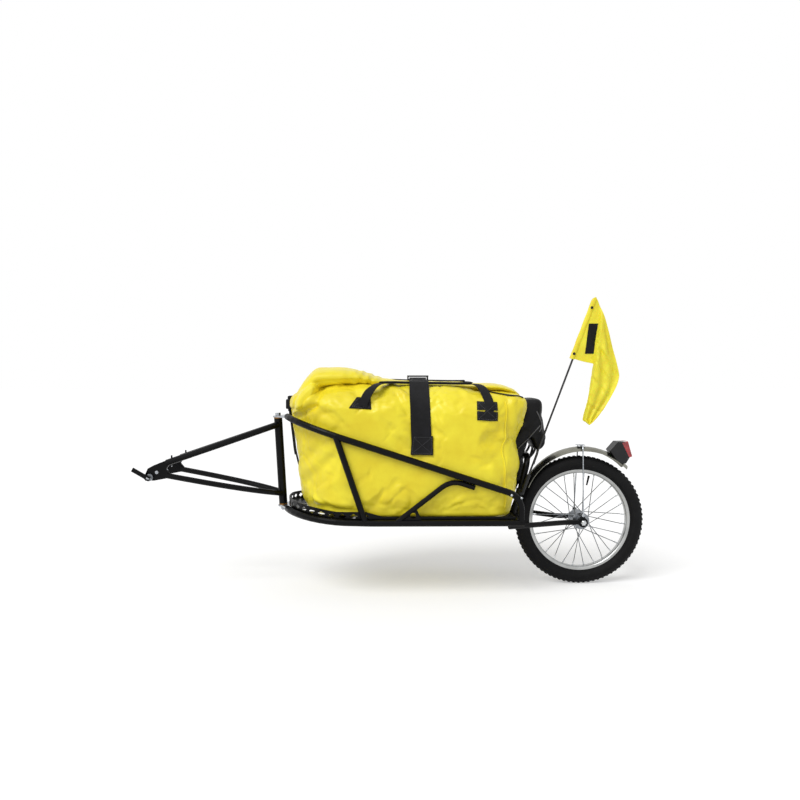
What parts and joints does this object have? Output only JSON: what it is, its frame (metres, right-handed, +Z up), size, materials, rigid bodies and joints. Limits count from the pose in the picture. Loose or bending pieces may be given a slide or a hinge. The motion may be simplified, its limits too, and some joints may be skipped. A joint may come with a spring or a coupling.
{
  "type": "single wheel touring trailer",
  "caption": "Low bicycle cargo trailer with one rear wheel, a turning front fork that hooks to a rear axle, a mesh floor, a strapped dry bag, a fender with a light and a flag.",
  "frame": {"origin": "middle of the footprint, on the ground", "axes": "+X to the rear, where the wheel is, +Y to the trailer's right as it is towed, +Z up"},
  "size_m": [1.5482, 0.419, 0.8766],
  "materials": {
    "black_paint": "gloss black powder coat on steel tube",
    "zinc_steel": "zinc plated steel",
    "polished_alloy": "polished alloy",
    "bronze": "plain bronze bush",
    "tyre_rubber": "black rubber",
    "black_plastic": "moulded black plastic",
    "red_lens": "clear red reflector plastic",
    "black_fibreglass": "black fibreglass rod",
    "yellow_coated_cloth": "yellow coated waterproof cloth",
    "yellow_flag_cloth": "thin yellow cloth",
    "black_webbing": "woven black webbing"
  },
  "bodies": {
    "frame": {"top_rail_left": "black_paint", "top_rail_right": "black_paint", "floor_rail_left": "black_paint", "floor_rail_right": "black_paint", "front_brace_left": "black_paint", "front_brace_right": "black_paint", "rear_brace_left": "black_paint", "rear_brace_right": "black_paint", "rear_cross_tube": "black_paint", "floor_mesh": "black_paint", "upper_pivot_plate": "zinc_steel", "lower_pivot_plate": "zinc_steel", "pivot_pin": "zinc_steel", "pivot_pin_nut": "zinc_steel", "rear_hoop": "black_paint", "chainstay_left": "black_paint", "chainstay_right": "black_paint", "dropout_left": "polished_alloy", "dropout_right": "polished_alloy", "axle": "zinc_steel", "axle_nut_left": "polished_alloy", "axle_nut_right": "polished_alloy", "fender": "polished_alloy", "fender_stay": "zinc_steel", "tail_light_body": "black_plastic", "tail_light_lens": "red_lens", "flag_holder": "black_plastic"},
    "wheel": {"tyre": "tyre_rubber", "rim": "polished_alloy", "hub": "polished_alloy", "bearing_left": "zinc_steel", "bearing_right": "zinc_steel", "valve": "tyre_rubber"},
    "fork": {"pivot_tube": "black_paint", "upper_bush": "bronze", "lower_bush": "bronze", "fork_upper_arm_left": "black_paint", "fork_upper_arm_right": "black_paint", "fork_lower_arm_left": "black_paint", "fork_lower_arm_right": "black_paint", "fork_dropout_left": "black_paint", "fork_dropout_right": "black_paint"},
    "pin_left": {"retaining_pin_left": "zinc_steel"},
    "pin_right": {"retaining_pin_right": "zinc_steel"},
    "skewer": {"skewer_rod": "zinc_steel", "skewer_housing": "zinc_steel", "bobbin_left": "zinc_steel", "bobbin_right": "zinc_steel", "skewer_nut": "zinc_steel"},
    "lever": {"skewer_lever": "black_paint"},
    "load": {"bag": "yellow_coated_cloth", "bag_roll": "yellow_coated_cloth", "centre_strap": "black_webbing", "centre_buckle": "black_plastic", "handle_left": "black_webbing", "handle_right": "black_webbing", "front_closure": "black_webbing", "rear_pouch": "black_webbing"},
    "flag": {"flag_pole": "black_fibreglass", "flag": "yellow_flag_cloth"}
  },
  "joints": [
    {"name": "wheel_spin", "type": "hinge", "parent": "frame", "child": "wheel", "pos_m": [0.5761, 0, 0.198], "axis": [0, 1, 0], "continuous": true},
    {"name": "fork_turn", "type": "hinge", "parent": "frame", "child": "fork", "pos_m": [-0.3399, 0, 0.244], "axis": [-0.0557, 0, 0.9985], "range_deg": [-70, 70]},
    {"name": "hitch_pitch", "type": "hinge", "parent": "fork", "child": "skewer", "pos_m": [-0.7259, 0, 0.341], "axis": [0, 1, 0], "range_deg": [-20, 20]},
    {"name": "skewer_lever_turn", "type": "hinge", "parent": "skewer", "child": "lever", "pos_m": [-0.7259, -0.1027, 0.341], "axis": [0.5, 0, 0.866], "range_deg": [0, 160]},
    {"name": "retaining_pin_left_pull", "type": "slide", "parent": "fork", "child": "pin_left", "axis": [0, -1, 0], "range_m": [0, 0.012]},
    {"name": "retaining_pin_right_pull", "type": "slide", "parent": "fork", "child": "pin_right", "axis": [0, 1, 0], "range_m": [0, 0.012]},
    {"name": "bag_lift", "type": "slide", "parent": "frame", "child": "load", "axis": [0, 0, 1], "range_m": [0, 0.45]},
    {"name": "flag_lift", "type": "slide", "parent": "frame", "child": "flag", "axis": [0.35, 0, 0.9367], "range_m": [0, 0.08]}
  ]
}
